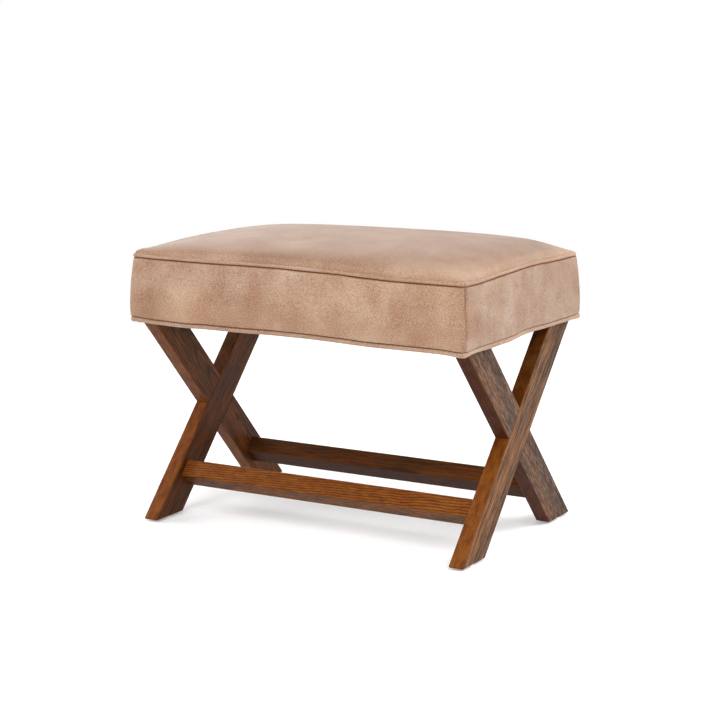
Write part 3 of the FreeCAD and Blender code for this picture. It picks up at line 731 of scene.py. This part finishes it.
def cover_leather(name, offset, tint, depth=1.0, sheen=0.12, sideways=(0.99, 1.12), spots=(), is_top=False):
    """Tan, matt, nubbed leather cloth: cloudy patches of this depth over a fine pebble grain, a tone that
    changes from left to right, and soft spots. The top gets painted light along its steep lower edge, and the
    other pieces get painted shade, with less gloss, in the seam creases that the seam attribute marks."""
    material, tree = new_material(name)
    at = placed(tree, location=offset)
    here = placed(tree)
    across, _, level = separated(tree, here)
    clouds = noise_of(tree, vectors(tree, "MULTIPLY", at, (1.0, 1.0, 0.5)), *CLOUDS)
    patches = noise_of(tree, at, *PATCHES)
    specks = noise_of(tree, at, *SPECKS)
    base = ramp(tree, clouds, list(zip((0.50 - 0.16 / depth, 0.50, 0.50 + 0.16 / depth), TAN)))
    base = mixed(tree, fade(tree, patches, 0.50, 0.68, 0.0, 0.70 * depth), base, ROSY_TAN)
    base = mixed(tree, fade(tree, patches, 0.48, 0.32, 0.0, 0.60 * depth), base, WORN_TAN)
    cells = pebble_cells(tree, at)
    worn = fade(tree, patches, 0.42, 0.60, 0.32, 0.80)
    base = mixed(tree, times(tree, fade(tree, cells, 0.0, 0.16, 1.0, 0.0), worn), base, VALLEY_TAN)
    mottled = times(tree, fade(tree, specks, 0.34, 0.66, 0.79, 1.26),
                    fade(tree, across, -0.25, 0.28, *sideways))
    tones = [times(tree, mottled, share) for share in tint]
    base = tinted(tree, base, add(tree, "ShaderNodeCombineColor", dict(enumerate(tones))).outputs[0])
    base = toned_spots(tree, here, base, spots)
    if is_top:
        # Painted light on the crown's steep lower edge
        base = mixed(tree, fade(tree, level, *EDGE_LIGHT_LEVELS, 1.0, 0.0), base, tinted(tree, base, EDGE_LIGHT_TONE))
        gloss = COVER_GLOSS
    else:
        # Painted shade in the seam creases that the seam attribute marks, with less gloss there
        seam = add(tree, "ShaderNodeAttribute", attribute_name="seam").outputs["Fac"]
        base = mixed(tree, fade(tree, seam, 0.02, 0.55, 0.0, 0.97), base, SEAM_SHADE_TAN)
        gloss = fade(tree, seam, 0.0, 0.4, COVER_GLOSS, SEAM_GLOSS)
    height = scaled(tree, specks, 0.35, fade(tree, cells, 0.0, 0.30))
    return dress(material, {"Base Color": base, "Roughness": fade(tree, specks, 0.3, 0.7, 0.56, 0.70),
                            "Specular IOR Level": gloss, "Sheen Weight": sheen, "Sheen Roughness": 0.45,
                            "Normal": bump(tree, height, 0.6, PEBBLE_HEIGHT)})


# Stained wood: tones of its cool, warm and red patches, in its open pores and where the arrises are rubbed
COOL_PATCH = (0.93, 1.00, 1.07)
WARM_PATCH = (1.07, 1.01, 0.90)
RED_PATCH = (1.0, 0.84, 0.80)
PORE_BROWN = (0.016, 0.006, 0.004)
RUBBED_BROWN = (0.190, 0.060, 0.010)
ARRIS = 0.0006              # an arris starts this far in from the board's side
ARRIS_REACH = 0.0016
RUBBED_REACH = 0.0020
UPPER_HALF = (0.0, 0.12)    # along a leg from the lap, where its painted upper shade and reflection come in
RING_DRIFT = 0.010
GRAIN_DEPTH = 0.00018
# The wood's noise, as scales through, along and across the board, detail and roughness: dark streaks and
# where they break off, open pores, broad patches, and the mottles and fleck of the narrow edges
WOOD_NOISE = (((330.0, 8.0, 330.0), 3.0, 0.6), ((60.0, 22.0, 60.0), 2.0, 0.5),
              ((1500.0, 90.0, 1500.0), 2.0, 0.5), ((34.0, 7.0, 34.0), 3.0, 0.55),
              ((120.0, 42.0, 120.0), 4.0, 0.62), ((430.0, 120.0, 430.0), 2.0, 0.5))


def own_axes(tree, name, turn, middle):
    """Coordinates of the board itself: thickness, length and width."""
    moved = -(Euler(turn).to_matrix() @ Vector(middle))
    first, second, wide = separated(tree, placed(tree, location=moved, rotation=turn))
    thick, along = (second, first) if "stretcher" in name else (first, second)
    return thick, along, wide, combined(tree, thick, along, wide)


def growth_rings(tree, own, along, heart, ring_pitch):
    """0 to 1, and 1 in the open-pored early wood of each ring, about a heart line that leans a little."""
    drift = noise_of(tree, own, (16.0, 11.0, 16.0), 3.0, 0.6, "Color")
    drift = vectors(tree, "MULTIPLY", drift, (RING_DRIFT, 0.0, RING_DRIFT))
    heart_x, heart_z, lean_x, lean_z = heart
    lean = combined(tree, times(tree, along, lean_x), 0.0, times(tree, along, lean_z))
    from_heart = own
    for shift in (drift, (heart_x, 0, heart_z), lean):
        from_heart = vectors(tree, "ADD", from_heart, shift)
    from_heart = vectors(tree, "MULTIPLY", from_heart, (1, 0, 1))
    radius = vectors(tree, "LENGTH", from_heart, output="Value")
    rings = maths(tree, "FRACT", times(tree, radius, 1 / ring_pitch))
    return times(tree, fade(tree, rings, 0.0, 0.10), fade(tree, rings, 0.62, 0.15))


def near_side(tree, distance, half, reach):
    """1 at the board's side and 0 further in than reach."""
    return fade(tree, maths(tree, "ABSOLUTE", distance), half - reach, half - ARRIS)


def stained_wood(name, turn, middle, half_sizes, board):
    """Walnut-stained open-grained wood, satin: streaked on its faces and mottled on its narrow edges."""
    material, tree = new_material(name)
    thick, along, wide, own = own_axes(tree, name, turn, middle)
    early = growth_rings(tree, own, along, board["heart"], board["rings"])
    fibres = noise_of(tree, own, (540.0, board["fibre"], 540.0), 2.0, 0.6)
    streaks, breaks, pores, broad, mottles, fleck = (noise_of(tree, own, *kind) for kind in WOOD_NOISE)
    on_edge = near_side(tree, wide, half_sizes[1], ARRIS_REACH)

    fibre_tone = 0.56 * board["grain"]
    mottle_tone = 0.22 * board["mottle"]
    face_figure, edge_figure = board["figure"]
    dark_streak = times(tree, fade(tree, streaks, 0.46, 0.34), fade(tree, breaks, 0.36, 0.56))
    on_faces = times(tree, scaled(tree, dark_streak, -0.62 * board["grain"], 1.08),
                     fade(tree, broad, 0.30, 0.70, 0.84, 1.16),
                     fade(tree, fibres, 0.38, 0.62, 1 - fibre_tone, 1 + fibre_tone),
                     scaled(tree, early, -face_figure, 1 + face_figure * 0.3),
                     maths(tree, "SUBTRACT", 1.0, on_edge))
    on_edges = times(tree, fade(tree, mottles, 0.34, 0.66, 1 - mottle_tone, 1 + mottle_tone),
                     fade(tree, fleck, 0.34, 0.66, 0.86, 1.14),
                     scaled(tree, early, -edge_figure, 1 + edge_figure * 0.35), on_edge)
    shade = maths(tree, "ADD", on_faces, on_edges)

    face = mixed(tree, fade(tree, broad, 0.42, 0.60), toned(board["face"], COOL_PATCH),
                 toned(board["face"], WARM_PATCH))
    edge = mixed(tree, fade(tree, mottles, 0.40, 0.62), toned(board["edge"], RED_PATCH), board["edge"])
    base = mixed(tree, on_edge, face, edge)
    # Towards the leg's top: painted shade from the seat above, and on some boards a painted pale reflection
    base = mixed(tree, fade(tree, along, *UPPER_HALF), base,
                 tinted(tree, base, mixed(tree, on_edge, *board["upper"])))
    base = tinted(tree, base, add(tree, "ShaderNodeCombineColor", {0: shade, 1: shade, 2: shade}).outputs[0])
    open_pores = times(tree, fade(tree, pores, 0.54, 0.64), scaled(tree, early, 0.4, 0.3),
                       scaled(tree, on_edge, -0.6, 1.0))
    base = mixed(tree, open_pores, base, PORE_BROWN)
    rubbed = times(tree, near_side(tree, thick, half_sizes[0], RUBBED_REACH),
                   near_side(tree, wide, half_sizes[1], RUBBED_REACH),
                   fade(tree, broad, 0.46, 0.62, 0.0, 0.55))
    base = mixed(tree, rubbed, base, RUBBED_BROWN)

    gloss, edge_gloss = board["gloss"]
    if edge_gloss != gloss:
        gloss = scaled(tree, on_edge, edge_gloss - gloss, gloss)
    height = scaled(tree, open_pores, -1.0, times(tree, fibres, 0.35))
    return dress(material, {"Base Color": base, "Roughness": fade(tree, streaks, 0.3, 0.7, 0.50, 0.40),
                            "Specular IOR Level": gloss, "Normal": bump(tree, height, 0.5, GRAIN_DEPTH)})


def bare_wood(name, turn, colours, ring_scale, plies=None):
    """Sawn or planed bare wood, its grain along X before it is turned. Plies show as bands, and are given by
    their lowest level, their thickness together and their number."""
    material, tree = new_material(name)
    at = placed(tree, rotation=turn)
    drift = vectors(tree, "MULTIPLY", noise_of(tree, at, (3, 9, 9), 2.0, 0.5, "Color"), (0, 0.012, 0.012))
    flat = vectors(tree, "MULTIPLY", vectors(tree, "ADD", at, drift), (0.03, 1, 1))
    inputs = {"Vector": flat, "Scale": ring_scale, "Distortion": 1.5, "Detail": 2.0}
    rings = add(tree, "ShaderNodeTexWave", inputs, wave_type="RINGS", rings_direction="X").outputs["Fac"]
    fibres = noise_of(tree, at, (14, 520, 520), 4.0, 0.6)
    tone = scaled(tree, rings, 0.45, times(tree, fibres, 0.55))
    base = ramp(tree, tone, [(0.2, colours[0]), (0.75, colours[1])])
    if plies:
        low, thickness, count = plies
        level = separated(tree, placed(tree))[2]
        ply = times(tree, maths(tree, "SUBTRACT", level, low), count / thickness)
        dark = fade(tree, maths(tree, "PINGPONG", ply, 1.0), 0.4, 0.6, 0.0, 0.35)
        base = mixed(tree, dark, base, (0.36, 0.22, 0.10))
    return dress(material, {"Base Color": base, "Roughness": fade(tree, fibres, 0.3, 0.7, 0.72, 0.60),
                            "Normal": bump(tree, fibres, 0.4, 0.0002)})


def fine_grain(name, scale, detail, roughness, colours, rough, is_metal=0.0):
    """A hard, plain finish with fine scratches or grain: two colours and the roughness at each."""
    material, tree = new_material(name)
    grain = noise_of(tree, placed(tree), scale, detail, roughness)
    base = ramp(tree, grain, [(0.3, colours[0]), (0.7, colours[1])])
    return dress(material, {"Base Color": base, "Roughness": fade(tree, grain, 0.3, 0.7, *rough),
                            "Metallic": is_metal, "Normal": bump(tree, grain, 0.2, 0.00005)})


def open_foam(name):
    material, tree = new_material(name)
    at = placed(tree)
    cells = add(tree, "ShaderNodeTexVoronoi", {"Vector": at, "Scale": 700.0}).outputs["Distance"]
    base = ramp(tree, noise_of(tree, at, 12.0), [(0.3, (0.78, 0.70, 0.46)), (0.7, (0.84, 0.78, 0.56))])
    base = mixed(tree, fade(tree, cells, 0.35, 0.05, 0.0, 0.4), base, (0.50, 0.42, 0.24))
    return dress(material, {"Base Color": base, "Roughness": 0.9, "Normal": bump(tree, cells, 0.8, 0.0008)})


def fibre_cloth(name, dark, light, size, thread):
    """Matted fibres with no weave: wadding, and the cloth under the seat."""
    material, tree = new_material(name)
    at = placed(tree)
    one_way = noise_of(tree, at, (size, size * thread, size), 4.0, 0.65)
    other_way = noise_of(tree, at, (size * thread, size, size), 4.0, 0.65)
    fibres = maths(tree, "MAXIMUM", one_way, other_way)
    base = ramp(tree, fibres, [(0.40, dark), (0.72, light)])
    return dress(material, {"Base Color": base, "Roughness": 0.92, "Sheen Weight": 0.2,
                            "Normal": bump(tree, fibres, 0.6, 0.0003)})


def twisted_cotton(name):
    material, tree = new_material(name)
    twist = add(tree, "ShaderNodeTexWave", {"Vector": placed(tree), "Scale": 90.0, "Distortion": 1.0},
                wave_type="BANDS", bands_direction="DIAGONAL").outputs["Fac"]
    base = ramp(tree, twist, [(0.2, (0.55, 0.50, 0.41)), (0.8, (0.80, 0.76, 0.66))])
    return dress(material, {"Base Color": base, "Roughness": 0.9, "Normal": bump(tree, twist, 0.8, 0.0004)})


# Finishes of the solid pieces

def paint(node, material):
    """Gives a solid piece this finish."""
    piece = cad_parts[node]
    if not piece.material_slots:
        piece.data.materials.append(material)
    for place in piece.material_slots:
        place.material = material


def member_turn(node, rises_to_back):
    """The lean of a leg, from the box that it fills."""
    low, high = map(Vector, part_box(node))
    foot_out = max(abs(low.y), abs(high.y))
    top_out = min(abs(low.y), abs(high.y))
    angle = math.atan2(high.z - low.z, foot_out + top_out - LEG_CUT)
    return -angle if rises_to_back else angle - math.pi


def board(face, edge, heart, rings, figure=(0.22, 0.10), gloss=(0.20, 0.10), upper=((1, 1, 1), (1, 1, 1)),
          fibre=60.0, mottle=1.0, grain=1.0):
    """One board: the tones of its faces and narrow edges, where its heart lies and how that leans, and its
    rings' pitch. Then, for faces and edges: how strongly the rings show, the gloss, and what the upper half's
    tone is times the lower's, which paints shade from the seat and, on some boards, a pale reflection. Last,
    how short its fibres run, and how strong its mottling and grain are."""
    return {"face": face, "edge": edge, "heart": heart, "rings": rings, "figure": figure, "gloss": gloss,
            "upper": upper, "fibre": fibre, "mottle": mottle, "grain": grain}


BOARDS = {
    "left_leg_front_foot": board(
        (0.084, 0.025, 0.007), (0.152, 0.045, 0.0075), (0.075, 0.03, 0.02, 0.01), 0.0042,
        gloss=(0.08, 0.08), upper=((1, 1, 1), (0.50, 0.61, 0.92)), fibre=22.0, grain=0.62),
    "left_leg_back_foot": board(
        (0.094, 0.028, 0.006), (0.124, 0.042, 0.010), (0.0032, 0.004, 0.07, 0.01), 0.0040,
        figure=(0.50, 0.10), gloss=(0.08, 0.10), upper=((1.1, 1.3, 1.8), (1, 1, 1)), fibre=22.0, grain=0.62),
    # The right frame's wide faces: brown stain with a painted grey reflection of the bright right side mixed
    # into their colour, and little gloss of their own
    "right_leg_front_foot": board(
        (0.142, 0.070, 0.038), (0.150, 0.045, 0.004), (0.090, -0.05, 0.01, 0.02), 0.0038,
        gloss=(0.02, 0.10), upper=((0.79, 0.88, 1.00), (0.75, 0.80, 1.4)), fibre=24.0, grain=0.85),
    "right_leg_back_foot": board(
        (0.103, 0.060, 0.042), (0.054, 0.014, 0.004), (-0.110, 0.02, 0.02, -0.01), 0.0036,
        gloss=(0.02, 0.10), upper=((1.08, 1.09, 1.13), (1, 1, 1)), grain=0.7),
    "front_stretcher": board(
        (0.106, 0.031, 0.003), (0.165, 0.050, 0.005), (0.070, 0.012, -0.07, 0.02), 0.0042,
        figure=(0.20, 0.80), gloss=(0.12, 0.10), mottle=0.55),
    "back_stretcher": board(
        (0.104, 0.031, 0.005), (0.042, 0.012, 0.003), (0.06, 0.05, 0.01, 0.02), 0.0045,
        figure=(0.20, 0.20), fibre=20.0, mottle=0.5, grain=0.5),
}


def finish_frames():
    """Each leg and stretcher is cut from its own board, so each has its own grain."""
    for node, kind in BOARDS.items():
        low, high = map(Vector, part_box(node))
        middle = (low + high) / 2
        if "stretcher" in node:
            angle = member_turn("right_leg_front_foot", node == "front_stretcher")
            half_sizes = (STRETCHER_SIZE / 2, STRETCHER_SIZE / 2)
        else:
            angle = member_turn(node, "front_foot" in node)
            middle = Vector((middle.x, 0, LAP_HEIGHT))
            half_sizes = ((leg_high.x - leg_low.x) / 2, LEG_WIDTH / 2)
        paint(node, stained_wood("stained_" + node, (angle, 0, 0), middle, half_sizes, kind))


# Bare wood in its darker and paler rings, and how close the rings are
POPLAR = (((0.50, 0.36, 0.20), (0.70, 0.56, 0.37)), 24.0)
BEECH = (((0.52, 0.33, 0.18), (0.68, 0.48, 0.30)), 60.0)
PLYWOOD = (((0.50, 0.35, 0.19), (0.68, 0.52, 0.33)), 26.0)
PLY_COUNT = 5
ALONG_X = (0, 0, 0)
ALONG_Y = (0, 0, math.pi / 2)
UPRIGHT = (0, math.pi / 2, 0)


def finish_inside():
    """The wood, steel and plastic that the seat hides."""
    deck_low, deck_high = map(Vector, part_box("seat_deck"))
    plies = (deck_low.z, deck_high.z - deck_low.z, PLY_COUNT)
    steel = fine_grain("zinc_plated_steel", (900, 900, 120), 3.0, 0.6,
                       ((0.50, 0.51, 0.53), (0.68, 0.69, 0.70)), (0.28, 0.45), is_metal=1.0)
    nylon = fine_grain("natural_nylon", 1400.0, 2.0, 0.5,
                       ((0.70, 0.68, 0.62), (0.78, 0.76, 0.70)), (0.42, 0.55))
    for material, *nodes in (
            (bare_wood("bare_poplar_long", ALONG_X, *POPLAR), "front_rail", "back_rail"),
            (bare_wood("bare_poplar_end", ALONG_Y, *POPLAR), "left_rail", "right_rail"),
            (bare_wood("bare_poplar_upright", UPRIGHT, *POPLAR), "corner_blocks"),
            (bare_wood("bare_beech_long", ALONG_X, *BEECH), "rail_dowels", "stretcher_dowels"),
            (bare_wood("bare_beech_upright", UPRIGHT, *BEECH), "leg_top_dowels"),
            (bare_wood("poplar_plywood", ALONG_X, *PLYWOOD, plies), "seat_deck"),
            (steel, "leg_top_screws", "corner_block_screws", "deck_screws", "glide_nails", "staples"),
            (nylon, "foot_glides")):
        for node in nodes:
            paint(node, material)


# The cover's side panels, anticlockwise from the front: where the patches start, the tint and the soft spots
PLAIN_TINT = (0.99, 0.98, 0.96)
# A cooler tone for the two end panels: painted sheen from the light that falls across them
END_SHEEN_TINT = (0.855, 0.905, 0.95)
SIDE_PANELS = (("front", (0.31, 0.2, 0.1), PLAIN_TINT, FRONT_SPOTS),
               ("right", (0.7, 0.1, 0.45), END_SHEEN_TINT, RIGHT_SPOTS),
               ("back", (0.2, 0.9, 0.3), PLAIN_TINT, ()),
               ("left", (0.5, 0.4, 0.8), END_SHEEN_TINT, ()))


def make_cover():
    make_crowned_top(cover_leather("tan_leather_top", (0.0, 0.0, 0.0), (0.795, 0.768, 0.705), 0.6, 0.26,
                                   (1.0, 1.02), TOP_SPOTS, is_top=True))
    for number, (side, offset, tint, spots) in enumerate(SIDE_PANELS):
        leather = cover_leather("tan_leather_" + side, offset, tint, spots=spots)
        make_side_panel(side + "_side", side + "_boxing", number, leather, number + 1.0)
    welt_leather = cover_leather("tan_leather_welts", (0.9, 0.6, 0.2), (1.05, 1.10, 1.12), 0.5)
    make_welts(welt_leather, twisted_cotton("twisted_cotton_cord"))
    make_foam_block(open_foam("open_cell_foam"))
    make_wadding(fibre_cloth("white_wadding", (0.70, 0.70, 0.68), (0.88, 0.88, 0.87), 260.0, 0.15))
    make_turned_hem(welt_leather)
    make_underside_cloth(fibre_cloth("black_underside_cloth", (0.010, 0.010, 0.011), (0.035, 0.035, 0.038),
                                     900.0, 0.2))


# Studio

def make_camera():
    lens = bpy.data.cameras.new("camera")
    lens.lens = LENS
    lens.sensor_width = SENSOR
    camera = new_object("camera", lens)
    look = Matrix.Rotation(CAMERA_YAW, 3, "Z") @ Matrix.Rotation(math.pi / 2 + CAMERA_PITCH, 3, "X")
    look = look @ Matrix.Rotation(CAMERA_ROLL, 3, "Z")
    camera.rotation_euler = look.to_euler()
    camera.location = CAMERA_PLACE
    bpy.context.scene.camera = camera


def make_softbox(azimuth, height, power):
    """A square softbox turned to the stool: degrees round from the front to the right, and up."""
    round_by, up_by = math.radians(azimuth), math.radians(height)
    flat = math.cos(up_by)
    away = Vector((math.sin(round_by) * flat, -math.cos(round_by) * flat, math.sin(up_by)))
    name = "softbox_%d_%d" % (azimuth % 360, height)
    lamp = bpy.data.lights.new(name, "AREA")
    lamp.shape = "SQUARE"
    lamp.size = SOFTBOX_SIZE
    lamp.energy = power
    light = new_object(name, lamp)
    light.location = LIT_PLACE + away * SOFTBOX_REACH
    light.rotation_euler = (-away).to_track_quat("-Z", "Y").to_euler()


def make_floor():
    shape = bmesh.new()
    bmesh.ops.create_circle(shape, cap_ends=True, segments=96, radius=FLOOR_RADIUS)
    material, _ = new_material("white_floor")
    dress(material, {"Base Color": FLOOR_WHITE, "Roughness": 0.8, "Specular IOR Level": 0.1,
                     "Emission Color": (1, 1, 1), "Emission Strength": FLOOR_GLOW})
    mesh_object("floor", shape, material)


def make_surroundings():
    """A white backdrop, and a dimmer room for the light that reaches the stool."""
    world = bpy.data.worlds.new("studio")
    world.use_nodes = True
    bpy.context.scene.world = world
    tree = world.node_tree
    room = tree.nodes["Background"]
    feed(room.inputs["Color"], ROOM_WHITE)
    feed(room.inputs["Strength"], ROOM_GLOW)
    backdrop = add(tree, "ShaderNodeBackground", {"Color": (1, 1, 1), "Strength": 1.0})
    is_seen = add(tree, "ShaderNodeLightPath").outputs["Is Camera Ray"]
    both = add(tree, "ShaderNodeMixShader", {0: is_seen, 1: room.outputs[0], 2: backdrop.outputs[0]})
    feed(tree.nodes["World Output"].inputs["Surface"], both.outputs[0])


def make_studio():
    view = bpy.context.scene.view_settings
    view.view_transform = "Standard"
    view.look = "None"
    make_camera()
    make_floor()
    make_surroundings()
    for azimuth, height, power in SOFTBOXES:
        make_softbox(azimuth, height, power)


make_studio()
make_cover()
finish_frames()
finish_inside()
